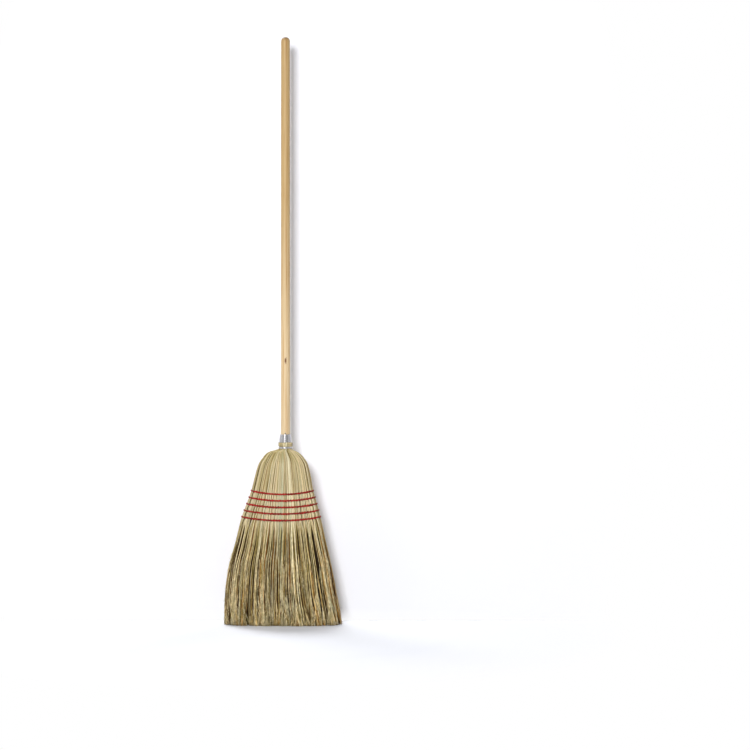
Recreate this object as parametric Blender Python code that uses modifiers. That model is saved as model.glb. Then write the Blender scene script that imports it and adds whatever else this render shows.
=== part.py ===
"""A parlor broom: a wood handle, five bundles of broomcorn, a wire-wound neck and five sewn rows.

Metres, +Z up. The origin lies on the floor under the middle of the straw tips, and the broad
face of the broom looks along -Y.
"""
import math

import bmesh
import bpy
import numpy as np
from mathutils import Vector

# Whole broom
overall_height = 1.397
head_height = 0.417
skirt_width = 0.275
skirt_depth = 0.088
handle_offset = 0.0072
piece_gap = 0.0003

# Handle
handle_insertion = 0.087
handle_diameter = 0.0222
handle_top_diameter = 0.0214
handle_chamfer = 0.003

# Neck, from the straw's shoulder upwards: heights, and how far the straw stands off the handle
wire_diameter = 0.0014
wire_pitch = 0.0019
band_height = 0.0055
band_straw = 0.0039
ring_height = 0.0095
ring_straw = 0.0059
ring_edge = 0.0008
cone_height = 0.0200
cone_straw = 0.0027
butt_height = 0.0155
butt_straw = 0.0009

# Nail that holds the wire's end
nail_diameter = 0.0016
nail_head_diameter = 0.0034
nail_head_thickness = 0.0007
nail_length = 0.0120

# Inside bundle, tied to the handle under the covers
core_top_below_neck = 0.0188
core_neck_height = 0.0130
core_neck_straw = 0.0028
core_spread_height = 0.0130
over_binding_height = 0.0053

# Sewn rows, counted from the top
top_row_below_neck = 0.099
row_spacing = 0.0155
row_sag = 0.008
twine_thick = 0.0029
twine_thin = 0.0021
stitch_slant = 0.0008

# Straw tips
root_below_rows = 0.010
tip_raggedness = 0.0075
floor_trim = 0.0005

# Distance under which points of a turned profile count as one
weld_distance = 0.00001

# Counts
row_count = 5
cover_cells = 14
shoulder_cells = 6
layer_cells = 3
handle_segments = 28
nail_segments = 12
loop_points = 24
hidden_loop_points = 16
dome_steps = 6
clearance_steps = 8

# Shares of the head's outline, inside bundle, strands and winding
core_width_share = 0.60
core_depth_share = 0.62
strand_middle_share = 0.50
middle_thickness_share = 0.84
tip_thickness_shares = (0.48, 0.70)
tip_wander_share = 0.70
first_half_dome_share = 0.992
second_half_dome_share = 0.981
crossing_turn_share = 0.50
crossing_start_share = 0.25
wire_end_share = 0.30
least_turn_share = 0.50

# Outline of the head below the neck as (height, width, depth, centre, cover span, power) shares:
# of the head's height, of half the skirt's width and depth, of the handle's offset and of a
# quarter turn. The power is that of the rounded section, 2 being an ellipse.
outline_shares = (
    (0.992, 0.160, 0.400, 0.65, 0.61, 2.0),
    (0.981, 0.253, 0.455, 0.25, 0.59, 2.1),
    (0.966, 0.317, 0.490, 0.25, 0.57, 2.1),
    (0.947, 0.364, 0.510, 0.30, 0.55, 2.2),
    (0.914, 0.430, 0.530, 0.25, 0.52, 2.2),
    (0.844, 0.489, 0.545, 0.15, 0.50, 2.3),
    (0.777, 0.533, 0.550, 0.00, 0.50, 2.4),
    (0.707, 0.598, 0.550, -0.15, 0.50, 2.4),
    (0.604, 0.698, 0.560, -0.45, 0.50, 2.4),
    (0.468, 0.797, 0.670, -0.55, 0.50, 2.4),
    (0.331, 0.903, 0.800, -0.75, 0.50, 2.5),
    (0.194, 0.968, 0.905, -0.60, 0.50, 2.5),
    (0.058, 1.012, 1.010, 0.00, 0.50, 2.6),
    (0.000, 1.018, 1.035, 0.20, 0.50, 2.6),
)
neck_cover_span_share = 0.62

# How far a level hangs in the middle, as (height, sag) shares of the head's height and the rows' sag
sag_shares = ((0.0, 0.0), (0.30, 0.35), (0.59, 1.0), (0.78, 1.0), (0.90, 0.0), (1.0, 0.0))

# Weights that turn a strand's place into a repeatable number
noise_shares = (12.9898, 78.233, 37.719, 4375.85)

# Materials: colour, roughness, metallic
wood_finish = ((0.66, 0.47, 0.26), 0.45, 0.0)
cover_finish = ((0.55, 0.46, 0.25), 0.70, 0.0)
shoulder_finish = ((0.45, 0.34, 0.16), 0.75, 0.0)
core_finish = ((0.38, 0.30, 0.14), 0.80, 0.0)
wire_finish = ((0.62, 0.62, 0.63), 0.30, 1.0)
nail_finish = ((0.30, 0.29, 0.28), 0.40, 1.0)
twine_finish = ((0.42, 0.02, 0.015), 0.60, 0.0)

# Sizes that follow from the ones above
quarter_turn = math.pi / 2
full_turn = 2 * math.pi
to_millimetres = 1000
wire_radius = wire_diameter / 2
handle_radius = handle_diameter / 2
handle_bottom = head_height - handle_insertion
sleeve_radius = handle_radius + piece_gap
band_top = head_height + band_height
ring_top = band_top + ring_height
cone_top = ring_top + cone_height
butt_top = ring_top + butt_height
nail_height = cone_top + 2 * piece_gap + nail_diameter / 2
core_top = head_height - core_top_below_neck
core_neck_bottom = core_top - core_neck_height
core_spread_bottom = core_neck_bottom - core_spread_height
core_neck_radius = sleeve_radius + core_neck_straw
top_row_height = head_height - top_row_below_neck
strand_root_height = top_row_height - (row_count - 1) * row_spacing - root_below_rows


def clear_scene():
    for item in list(bpy.data.objects):
        bpy.data.objects.remove(item, do_unlink=True)


def make_collection(name):
    collection = bpy.data.collections.new(name)
    bpy.context.scene.collection.children.link(collection)
    return collection


def make_material(name, finish):
    colour, roughness, metallic = finish
    material = bpy.data.materials.new(name)
    material.use_nodes = True
    shader = material.node_tree.nodes["Principled BSDF"]
    shader.inputs["Base Color"].default_value = (*colour, 1.0)
    shader.inputs["Roughness"].default_value = roughness
    shader.inputs["Metallic"].default_value = metallic
    material.diffuse_color = (*colour, 1.0)
    return material


def place(name, data, collection, parent, finish):
    """An object with its own material, in the collection and under the parent."""
    item = bpy.data.objects.new(name, data)
    data.materials.append(make_material(name, finish))
    collection.objects.link(item)
    item.parent = parent
    return item


def mesh_of(name, body):
    bmesh.ops.recalc_face_normals(body, faces=body.faces)
    mesh = bpy.data.meshes.new(name)
    body.to_mesh(mesh)
    body.free()
    return mesh


def outline_at(height):
    """The head's section at a height: half width, half depth, centre, cover span and power."""
    half_width = skirt_width / 2
    half_depth = skirt_depth / 2
    neck = sleeve_radius + band_straw
    neck_row = (1, neck / half_width, neck / half_depth, 1, neck_cover_span_share, 2)
    rows = np.array((neck_row, *outline_shares))[::-1]
    share = height / head_height
    width, depth, centre, span, power = (
        float(np.interp(share, rows[:, 0], rows[:, column])) for column in range(1, len(neck_row))
    )
    return (
        width * half_width,
        depth * half_depth,
        centre * handle_offset,
        span * quarter_turn,
        power,
    )


def neck_radius(height):
    """Outer radius of the straw butts in the wound neck, and of the bare handle above them."""
    steps = (
        (head_height, band_straw),
        (band_top, band_straw),
        (band_top + ring_edge, ring_straw),
        (ring_top - ring_edge, ring_straw),
        (ring_top, cone_straw),
        (butt_top, butt_straw),
        (cone_top, 0),
    )
    straw = np.interp(height, [step[0] for step in steps], [step[1] for step in steps])
    return sleeve_radius + float(straw)


def curve_point(half_width, half_depth, power, angle):
    """A point of a rounded section; the angle turns from the front face towards the right."""
    across = math.copysign(abs(math.sin(angle)) ** (2 / power), math.sin(angle))
    deep = math.copysign(abs(math.cos(angle)) ** (2 / power), math.cos(angle))
    return np.array((half_width * across, -half_depth * deep))


def circle_point(radius, angle):
    """A point of a circle round the handle."""
    return curve_point(radius, radius, 2, angle) + (handle_offset, 0)


def outer_point(height, angle):
    """A point of the head's outside, or of the straw butts above the shoulder."""
    if height >= head_height:
        return circle_point(neck_radius(height), angle)
    half_width, half_depth, centre, _, power = outline_at(height)
    return curve_point(half_width, half_depth, power, angle) + (centre, 0)


def core_point(height, angle, clearance):
    """A point of the inside bundle's surface, or a clearance outside it."""
    if height >= core_neck_bottom:
        return circle_point(core_neck_radius + clearance, angle)
    half_width, half_depth, centre, _, power = outline_at(height)
    wide = core_width_share * half_width + clearance
    deep = max(core_depth_share * half_depth, core_neck_radius) + clearance
    return curve_point(wide, deep, power, angle) + (centre, 0)


def inner_point(height, angle):
    """A point of the hollow that the four outer bundles leave for what they cover."""
    if height > core_top + wire_diameter:
        return circle_point(sleeve_radius, angle)
    if height >= core_neck_bottom:
        return core_point(height, angle, 3 * piece_gap + wire_diameter)
    return core_point(height, angle, piece_gap)


def sag_at(height, x):
    """How far a level hangs below its height at a place across the head."""
    half_width, _, centre, _, _ = outline_at(height)
    shares = np.array(sag_shares)
    share = float(np.interp(height / head_height, shares[:, 0], shares[:, 1]))
    off_centre = min(abs((x - centre) / half_width), 1)
    return row_sag * share * (1 - off_centre ** 2)


def lifted(point, height):
    x, y = point
    return Vector((x, y, height - sag_at(height, x)))


def row_heights():
    return [top_row_height - row * row_spacing for row in range(row_count)]


def head_levels():
    """Heights of the loft's sections, from the top of the butts down to the strands' roots."""
    levels = [
        butt_top,
        ring_top,
        ring_top - ring_edge,
        band_top + ring_edge,
        band_top,
        head_height,
        first_half_dome_share * head_height,
        second_half_dome_share * head_height,
        core_top + over_binding_height,
        core_top + piece_gap,
        core_neck_bottom,
        core_spread_bottom,
        (core_spread_bottom + top_row_height) / 2,
        *row_heights(),
        strand_root_height,
    ]
    return sorted(set(levels), reverse=True)


def sector_section(height, middle, half_span, cells):
    """Points of one outer bundle at a height, a grid across by inside to outside."""
    grid = []
    for column in range(cells + 1):
        side = 2 * column / cells - 1
        angle = middle + side * half_span
        inner = inner_point(height, angle)
        outer = outer_point(height, angle)
        shift = np.zeros(2)
        if abs(side) == 1:
            along = (outer - inner) / np.linalg.norm(outer - inner)
            shift = -side * piece_gap / 2 * np.array((-along[1], along[0]))
        cells_deep = [
            inner + (outer - inner) * layer / layer_cells + shift
            for layer in range(layer_cells + 1)
        ]
        grid.append([lifted(point, height) for point in cells_deep])
    return grid


def cover_section(front):
    """The section function of the front or the back cover."""

    def section(height):
        span = outline_at(height)[3]
        if front:
            return sector_section(height, 0, span, cover_cells)
        return sector_section(height, math.pi, span, cover_cells)

    return section


def shoulder_section(side):
    """The section function of the right (1) or left (-1) shoulder."""

    def section(height):
        span = quarter_turn - outline_at(height)[3]
        return sector_section(height, side * quarter_turn, span, shoulder_cells)

    return section


def core_section(height):
    """Points of the inside bundle at a height, a grid from left to right by front to back."""
    span = outline_at(height)[3]
    grid = []
    for column in range(cover_cells + 1):
        side = 2 * column / cover_cells - 1
        front = core_point(height, side * span, 0)
        back = core_point(height, math.pi - side * span, 0)
        points = []
        for layer in range(shoulder_cells + 1):
            across = 2 * layer / shoulder_cells - 1
            point = front + (back - front) * (across + 1) / 2
            if abs(side) == 1:
                angle = side * (quarter_turn + across * (quarter_turn - span))
                point = core_point(height, angle, 0)
            points.append(lifted(point, height))
        grid.append(points)
    return grid


def split(body, corners):
    """Two triangles over four corners; walls that face each other share the diagonal."""
    a, b, c, d = corners
    body.faces.new((a, b, c))
    body.faces.new((a, c, d))


def noise(*numbers):
    """A repeatable number from 0 to 1 for a strand."""
    *weights, spread = noise_shares
    total = sum(number * weights[index % len(weights)] for index, number in enumerate(numbers))
    return (math.sin(total + len(numbers)) * spread) % 1


def room_in(points, middle):
    """Distance from a cell's middle to its nearest side."""
    room = math.inf
    for index, point in enumerate(points):
        side = (point - points[index - 1]).normalized()
        room = min(room, (middle - point).cross(side).length)
    return room


def strand_ring(body, points, thickness, wander):
    """One section of a strand: its cell drawn in towards the middle, and moved in the room left."""
    middle = sum(points, Vector()) / len(points)
    drift = wander * (1 - thickness) * room_in(points, middle)
    return [body.verts.new(middle + (point - middle) * thickness + drift) for point in points]


def close_ring(body, upper, lower):
    for index, corner in enumerate(upper):
        after = (index + 1) % len(upper)
        split(body, (corner, upper[after], lower[after], lower[index]))


def add_strand(body, roots, middles, tips, key):
    """A tapering strand under one cell of the bundle's lower face, cut level at its tip."""
    tip_height = max(tip_raggedness * noise(*key) ** 2 - floor_trim, 0)
    turn = full_turn * noise(*key[::-1])
    wander = Vector((math.cos(turn), math.sin(turn), 0)) * tip_wander_share
    ring = roots
    if middles:
        ring = strand_ring(body, middles, middle_thickness_share, wander)
        close_ring(body, roots, ring)
    above = middles or [root.co for root in roots]
    ends = []
    for end, start in zip(tips, above):
        spot = end.lerp(start, tip_height / start.z)
        spot.z = tip_height
        ends.append(spot)
    thinnest, thickest = tip_thickness_shares
    thickness = thinnest + (thickest - thinnest) * noise(*key, key[0])
    tip = strand_ring(body, ends, thickness, wander)
    close_ring(body, ring, tip)
    body.faces.new(tip)


def cell_parts(column, layer, layers):
    """Corners of the strands under one cell; the outermost cells have two strands outside."""
    inner = (column, layer)
    inner_next = (column + 1, layer)
    outer = (column, layer + 1)
    outer_next = (column + 1, layer + 1)
    if layer + 1 < layers:
        return (inner, inner_next, outer_next), (inner, outer_next, outer)
    half = (column + 0.5, layer + 1)
    return (outer, inner, half), (inner, inner_next, half), (inner_next, outer_next, half)


def grid_point(grid, spot):
    """A point of a section by its column and layer; half a column lies midway."""
    column, layer = spot
    left = grid[math.floor(column)][layer]
    return (left + grid[math.ceil(column)][layer]) / 2


def rim_of(columns, layers):
    """The four sides of a section's grid, as rows of column and layer."""
    return (
        [(column, 0) for column in range(columns + 1)],
        [(column, layers) for column in range(columns + 1)],
        [(0, layer) for layer in range(layers + 1)],
        [(columns, layer) for layer in range(layers + 1)],
    )


def add_walls(body, rings, rim, halves):
    """The walls between sections; the lowest one takes in the roots halfway between columns."""
    for upper, lower in zip(rings, rings[1:]):
        for side in rim:
            for here, after in zip(side, side[1:]):
                half = ((here[0] + after[0]) / 2, here[1])
                if lower is rings[-1] and half in halves:
                    body.faces.new((lower[here], halves[half], upper[here]))
                    split(body, (halves[half], lower[after], upper[after], upper[here]))
                else:
                    split(body, (lower[here], lower[after], upper[after], upper[here]))


def bundle(name, section, levels, inside, number):
    """A lofted bundle of straw whose lower face carries a strand under every part of a cell."""
    body = bmesh.new()
    grids = [section(height) for height in levels]
    columns = len(grids[0]) - 1
    layers = len(grids[0][0]) - 1
    spots = [(column, layer) for column in range(columns + 1) for layer in range(layers + 1)]
    rim = rim_of(columns, layers)
    edge = sorted({spot for side in rim for spot in side})
    rings = [{spot: body.verts.new(grid_point(grids[0], spot)) for spot in spots}]
    for grid in grids[1:-1]:
        rings.append({spot: body.verts.new(grid_point(grid, spot)) for spot in edge})
    rings.append({spot: body.verts.new(grid_point(grids[-1], spot)) for spot in spots})
    halves = {}
    if not inside:
        for column in range(columns):
            half = (column + 0.5, layers)
            halves[half] = body.verts.new(grid_point(grids[-1], half))
    add_walls(body, rings, rim, halves)
    roots = rings[-1] | halves
    middle_grid = section(strand_middle_share * strand_root_height)
    tip_grid = section(0)
    for column in range(columns):
        for layer in range(layers):
            cell = ((column, layer), (column + 1, layer), (column + 1, layer + 1), (column, layer + 1))
            split(body, [rings[0][spot] for spot in cell])
            parts = (cell,) if inside else cell_parts(column, layer, layers)
            for part_number, part in enumerate(parts):
                add_strand(
                    body,
                    [roots[spot] for spot in part],
                    None if inside else [grid_point(middle_grid, spot) for spot in part],
                    [grid_point(tip_grid, spot) for spot in part],
                    (number, column + part_number / len(parts), layer),
                )
    return mesh_of(name, body)


def make_straw(collection, parent):
    """The five bundles; the inside one is bored for the handle."""
    levels = head_levels()
    outer = (
        ("cover_straw_front", cover_section(True), cover_finish),
        ("cover_straw_back", cover_section(False), cover_finish),
        ("shoulder_straw_left", shoulder_section(-1), shoulder_finish),
        ("shoulder_straw_right", shoulder_section(1), shoulder_finish),
    )
    for number, (name, section, finish) in enumerate(outer):
        mesh = bundle(name, section, levels, False, number)
        place(name, mesh, collection, parent, finish)
    core_levels = [core_top] + [height for height in levels if height <= core_neck_bottom]
    mesh = bundle("core_straw", core_section, core_levels, True, len(outer))
    return place("core_straw", mesh, collection, parent, core_finish)


def turned(name, profile, segments, collection, parent, finish):
    """A profile of (radius, height) points, top to bottom, turned about its own Z."""
    mesh = bpy.data.meshes.new(name)
    points = [(radius, 0, height) for radius, height in profile]
    mesh.from_pydata(points, [(i, i + 1) for i in range(len(points) - 1)], [])
    item = place(name, mesh, collection, parent, finish)
    screw = item.modifiers.new("Turn", "SCREW")
    screw.steps = segments
    screw.render_steps = segments
    screw.use_merge_vertices = True
    screw.merge_threshold = weld_distance
    screw.use_smooth_shade = True
    return item


def make_handle(collection, parent):
    """A dowel with a domed top and a slight taper."""
    top_radius = handle_top_diameter / 2
    dome_base = overall_height - top_radius
    dome = []
    for step in range(dome_steps + 1):
        angle = quarter_turn * (1 - step / dome_steps)
        dome.append((top_radius * math.cos(angle), dome_base + top_radius * math.sin(angle)))
    dome[0] = (0, overall_height)
    profile = [
        *dome,
        (handle_radius, nail_height + nail_head_diameter),
        (handle_radius, cone_top - nail_head_diameter),
        (handle_radius, handle_bottom + handle_chamfer),
        (handle_radius - handle_chamfer, handle_bottom),
        (0, handle_bottom),
    ]
    item = turned("handle", profile, handle_segments, collection, parent, wood_finish)
    item.location.x = handle_offset
    return item


def cylinder(name, radius, depth, segments, collection, parent):
    """A cutter, not part of the broom."""
    body = bmesh.new()
    bmesh.ops.create_cone(
        body, cap_ends=True, segments=segments, radius1=radius, radius2=radius, depth=depth
    )
    item = bpy.data.objects.new(name, mesh_of(name, body))
    collection.objects.link(item)
    item.parent = parent
    item.hide_render = True
    item.display_type = "WIRE"
    return item


def cut(item, cutter):
    change = item.modifiers.new("Bore", "BOOLEAN")
    change.operation = "DIFFERENCE"
    change.solver = "EXACT"
    change.object = cutter


def bore_core(core, cutters, parent):
    """The hole in the inside bundle that the handle stands in."""
    bottom = handle_bottom - piece_gap
    depth = head_height - bottom
    cutter = cylinder("handle_bore", sleeve_radius, depth, handle_segments, cutters, parent)
    cutter.location = (handle_offset, 0, bottom + depth / 2)
    cut(core, cutter)


def wound_radius(height, straw_radius):
    """Radius of the wire's centre line where it rides over a straw profile with a gap."""
    reach = wire_radius + piece_gap
    best = 0
    for step in range(-clearance_steps, clearance_steps + 1):
        rise = reach * step / clearance_steps
        best = max(best, straw_radius(height + rise) + math.sqrt(reach ** 2 - rise ** 2))
    return best


def butt_profile(height):
    """Straw radius along the wound neck, with the shoulder spreading under it."""
    if height < head_height:
        return outline_at(height)[0]
    return neck_radius(height)


def core_profile(height):
    """Straw radius along the inside bundle's neck, the same all the way."""
    return core_neck_radius


def helix_points(bottom, top, start_turn, turns, points, straw_radius):
    """Points of a winding; the circle through them stands clear of the straw between them."""
    steps = round(turns * points)
    corner = 1 / math.cos(math.pi / points)
    path = []
    for step in range(steps + 1):
        share = step / steps
        height = bottom + (top - bottom) * share
        angle = full_turn * (start_turn + turns * share)
        radius = wound_radius(height, straw_radius) * corner
        path.append(Vector((radius * math.sin(angle), -radius * math.cos(angle), height)))
    return path


def straight_ends(path):
    """The path with both ends carried on straight for one diameter of the wire."""
    first = (path[0] - path[1]).normalized() * wire_diameter
    last = (path[-1] - path[-2]).normalized() * wire_diameter
    return [path[0] + first, *path, path[-1] + last]


def least_gap(path, diameter, points):
    """Least distance between the surfaces of turns that lie side by side."""
    spots = np.array([tuple(point) for point in path])
    apart = points // 2
    least = math.inf
    for index in range(len(spots) - apart):
        others = spots[index + apart:]
        least = min(least, float(np.linalg.norm(others - spots[index], axis=1).min()))
    return least - diameter


def tube(name, path, radii, sides, cyclic, collection, parent, finish):
    """A curve with a round section through the points, its ends filled."""
    curve = bpy.data.curves.new(name, "CURVE")
    curve.dimensions = "3D"
    curve.bevel_depth = 1
    curve.bevel_resolution = sides
    curve.use_fill_caps = not cyclic
    spline = curve.splines.new("POLY")
    spline.points.add(len(path) - 1)
    for spot, point, radius in zip(spline.points, path, radii):
        spot.co = (*point, 1)
        spot.radius = radius
    spline.use_cyclic_u = cyclic
    return place(name, curve, collection, parent, finish)


def make_neck_wire(collection, parent):
    """One wire: a narrow band at the shoulder, a turn across the bare ring, a long close cone."""
    edge = wire_radius + piece_gap
    band = (head_height + edge, band_top - edge)
    cone = (ring_top + edge, cone_top - wire_radius)
    band_turns = (band[1] - band[0]) / wire_pitch
    cone_start = crossing_start_share + crossing_turn_share
    most_turns = (cone[1] - cone[0]) / wire_pitch
    end_turn = math.floor(cone_start + most_turns - wire_end_share) + wire_end_share
    stretches = (
        (*band, crossing_start_share - band_turns, band_turns),
        (band[1], cone[0], crossing_start_share, crossing_turn_share),
        (*cone, cone_start, end_turn - cone_start),
    )
    path = []
    for bottom, top, start_turn, turns in stretches:
        points = helix_points(bottom, top, start_turn, turns, loop_points, butt_profile)
        path += points[1:] if path else points
    path = straight_ends(path)
    gap = least_gap(path, wire_diameter, loop_points) * to_millimetres
    print(f"neck_wire least gap {gap:.3f} mm")
    radii = [wire_radius] * len(path)
    wire = tube("neck_wire", path, radii, 1, False, collection, parent, wire_finish)
    wire.location.x = handle_offset


def make_core_binding(collection, parent):
    """The hidden turns that tie the inside bundle to the handle."""
    bottom = core_neck_bottom + 2 * wire_diameter
    top = core_top - wire_diameter
    turns = (top - bottom) / wire_pitch
    path = straight_ends(helix_points(bottom, top, 0, turns, hidden_loop_points, core_profile))
    gap = least_gap(path, wire_diameter, hidden_loop_points) * to_millimetres
    print(f"core_binding least gap {gap:.3f} mm")
    radii = [wire_radius] * len(path)
    item = tube("core_binding", path, radii, 0, False, collection, parent, wire_finish)
    item.location.x = handle_offset


def make_wire_nail(collection, parent):
    """A nail beside the last turn, its head over the wire."""
    head_seat = handle_radius + 2 * piece_gap + wire_diameter
    shank = nail_length - nail_head_thickness
    profile = [
        (0, nail_head_thickness),
        (nail_head_diameter / 2, nail_head_thickness),
        (nail_head_diameter / 2, 0),
        (nail_diameter / 2, 0),
        (nail_diameter / 2, nail_diameter - shank),
        (0, -shank),
    ]
    nail = turned("wire_nail", profile, nail_segments, collection, parent, nail_finish)
    nail.location = (handle_offset, -head_seat, nail_height)
    nail.rotation_euler.x = quarter_turn
    return head_seat - shank


def bore_handle(handle, nail_tip, cutters, parent):
    """The hole that the nail is driven into."""
    depth = handle_radius - nail_tip + nail_diameter
    cutter = cylinder(
        "nail_bore", nail_diameter / 2 + piece_gap, depth + nail_diameter, nail_segments, cutters, parent
    )
    middle = -handle_radius + depth / 2 - nail_diameter / 2
    cutter.location = (handle_offset, middle, nail_height)
    cutter.rotation_euler.x = quarter_turn
    cut(handle, cutter)


def row_outline(height):
    """Points round the head at a row: the corners of the bundles' outer faces, in order."""
    front = [column[-1] for column in cover_section(True)(height)]
    right = [column[-1] for column in shoulder_section(1)(height)]
    back = [column[-1] for column in cover_section(False)(height)]
    left = [column[-1] for column in shoulder_section(-1)(height)]
    return front + right[1:-1] + back + left[1:-1]


def make_row(number, height, collection, parent):
    """A belt of twine round the head: a thick slanted stitch over each stretch of straw."""
    corners = row_outline(height)
    middles = [(a + b) / 2 for a, b in zip(corners, corners[1:] + corners[:1])]
    centre = outline_at(height)[2]
    path = []
    radii = []
    for index, (corner, middle) in enumerate(zip(corners, middles)):
        before = corners[index - 1]
        after = corners[(index + 1) % len(corners)]
        stretch = after - before
        out = Vector((stretch.y, -stretch.x, 0)).normalized()
        if out.dot(corner - Vector((centre, 0, corner.z))) < 0:
            out = -out
        edge = after - corner
        face = Vector((edge.y, -edge.x, 0)).normalized()
        turn = max(out.dot(face), least_turn_share)
        path.append(corner + out * (piece_gap + twine_thin / 2) / turn)
        path[-1].z -= stitch_slant / 2
        radii.append(twine_thin / 2)
        path.append(middle + face * (piece_gap + twine_thick / 2))
        path[-1].z += stitch_slant / 2
        radii.append(twine_thick / 2)
    tube(f"stitch_row_{number}", path, radii, 0, True, collection, parent, twine_finish)


def build():
    clear_scene()
    parts = make_collection("parlor_broom")
    cutters = make_collection("cutters")
    root = bpy.data.objects.new("broom_frame", None)
    parts.objects.link(root)
    core = make_straw(parts, root)
    handle = make_handle(parts, root)
    bore_core(core, cutters, root)
    make_core_binding(parts, root)
    make_neck_wire(parts, root)
    nail_tip = make_wire_nail(parts, root)
    bore_handle(handle, nail_tip, cutters, root)
    for number, height in enumerate(row_heights()):
        make_row(number + 1, height, parts, root)


build()
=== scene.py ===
"""Looks of a parlor broom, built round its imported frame: straw, twine, wire and wood."""
import math

import bpy
import numpy as np
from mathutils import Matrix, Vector


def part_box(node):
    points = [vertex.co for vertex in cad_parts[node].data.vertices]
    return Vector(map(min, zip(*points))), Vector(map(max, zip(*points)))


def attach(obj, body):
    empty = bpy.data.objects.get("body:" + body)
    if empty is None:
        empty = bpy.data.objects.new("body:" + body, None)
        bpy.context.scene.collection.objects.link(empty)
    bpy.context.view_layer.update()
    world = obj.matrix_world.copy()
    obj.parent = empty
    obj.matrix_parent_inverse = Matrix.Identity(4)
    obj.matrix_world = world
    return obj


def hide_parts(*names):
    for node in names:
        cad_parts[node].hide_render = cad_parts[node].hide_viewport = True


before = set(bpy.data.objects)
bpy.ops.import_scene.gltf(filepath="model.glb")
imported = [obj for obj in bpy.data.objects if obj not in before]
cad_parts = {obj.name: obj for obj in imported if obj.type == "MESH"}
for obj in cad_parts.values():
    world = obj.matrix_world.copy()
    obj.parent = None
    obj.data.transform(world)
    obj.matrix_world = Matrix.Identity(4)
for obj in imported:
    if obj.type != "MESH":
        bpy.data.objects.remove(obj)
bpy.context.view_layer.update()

full_turn = 2 * math.pi
quarter_turn = math.pi / 2
random = np.random.default_rng(seed=11)

# Driving sizes of the head, in metres
head_height = 0.417
skirt_width = 0.275
skirt_depth = 0.088

# Places read from the frame
handle_low, handle_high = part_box("handle")
handle_x = (handle_low.x + handle_high.x) / 2
handle_radius = (handle_high.x - handle_low.x) / 2
core_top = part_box("core_straw")[1].z

# Neck, from the shoulder upwards: heights, and how far the straw stands off the handle
piece_gap = 0.0003
band_height = 0.0055
band_straw = 0.0039
ring_height = 0.0095
ring_straw = 0.0059
ring_edge = 0.0008
cone_height = 0.0200
cone_straw = 0.0027
butt_height = 0.0155
butt_straw = 0.0009
sleeve_radius = handle_radius + piece_gap
band_top = head_height + band_height
ring_top = band_top + ring_height
cone_top = ring_top + cone_height
butt_top = ring_top + butt_height

# Sewn rows, counted from the top, and the roots of the skirt below them
row_count = 5
top_row_below_neck = 0.099
row_spacing = 0.0155
row_sag = 0.008
row_nip = 0.0011
row_nip_reach = 0.0040
root_below_rows = 0.010
row_heights = head_height - top_row_below_neck - row_spacing * np.arange(row_count)
root_height = row_heights[-1] - root_below_rows

# Outline of the head below the neck as (height, width, depth, centre, power) shares: of the head's
# height, of half the skirt's width and depth, and of the handle's offset
outline_shares = np.array((
    (0.000, 1.018, 1.035, 0.20, 2.6),
    (0.058, 1.012, 1.010, 0.00, 2.6),
    (0.194, 0.968, 0.905, -0.60, 2.5),
    (0.331, 0.903, 0.800, -0.75, 2.5),
    (0.468, 0.797, 0.670, -0.55, 2.4),
    (0.604, 0.698, 0.560, -0.45, 2.4),
    (0.707, 0.598, 0.550, -0.15, 2.4),
    (0.777, 0.533, 0.550, 0.00, 2.4),
    (0.844, 0.489, 0.545, 0.15, 2.3),
    (0.914, 0.430, 0.530, 0.25, 2.2),
    (0.947, 0.364, 0.510, 0.30, 2.2),
    (0.966, 0.317, 0.490, 0.25, 2.1),
    (0.981, 0.253, 0.455, 0.25, 2.1),
    (0.992, 0.160, 0.400, 0.65, 2.0),
    (1.000, 0.111, 0.348, 1.00, 2.0),
))
sag_shares = (0.0, 0.30, 0.59, 0.78, 0.90, 1.0), (0.0, 0.35, 1.0, 1.0, 0.0, 0.0)
round_points = 361
even_points = 721
small_turn = 0.01


# Shape of the head

def eased(at, places, values):
    """A smooth curve through a table's values that never overshoots them."""
    steps = np.diff(places)
    slopes = np.diff(values) / steps
    product = slopes[:-1] * slopes[1:]
    total = np.where(product > 0, slopes[:-1] + slopes[1:], 1)
    inner = np.where(product > 0, 2 * product / total, 0)
    tangents = np.concatenate((slopes[:1], inner, slopes[-1:]))
    spot = np.clip(np.searchsorted(places, at) - 1, 0, len(steps) - 1)
    step = steps[spot]
    t = np.clip((at - places[spot]) / step, 0, 1)
    start = (1 + 2 * t) * values[spot] + t * step * tangents[spot]
    end = (3 - 2 * t) * values[spot + 1] - (1 - t) * step * tangents[spot + 1]
    return start * (1 - t) ** 2 + end * t ** 2


def ramp(share):
    """From 0 to 1 with soft ends, as the share goes from 0 to 1."""
    share = np.clip(share, 0, 1)
    return share * share * (3 - 2 * share)


def band(height, heights):
    """1 between the two middle heights of four, fading to 0 at the outer ones."""
    return np.interp(height, heights, (0, 1, 1, 0))


def unit(vectors):
    least_length = 1e-9
    return vectors / np.maximum(np.linalg.norm(vectors, axis=-1, keepdims=True), least_length)


def straw_on_handle(height):
    """Thickness of the straw between the handle and the neck's outside."""
    heights = (
        head_height, band_top, band_top + ring_edge, ring_top - ring_edge, ring_top, butt_top, cone_top,
    )
    straw = (band_straw, band_straw, ring_straw, ring_straw, cone_straw, butt_straw, 0)
    return np.interp(height, heights, straw)


def outline(height):
    """The head's section at a height: half width, half depth, centre and power."""
    heights, *columns = outline_shares.T
    width, depth, centre, power = (eased(height / head_height, heights, column) for column in columns)
    neck = sleeve_radius + straw_on_handle(height)
    above = height >= head_height
    return (
        np.where(above, neck, width * skirt_width / 2),
        np.where(above, neck, depth * skirt_depth / 2),
        np.where(above, 1, centre) * handle_x,
        np.where(above, 2, power),
    )


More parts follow.
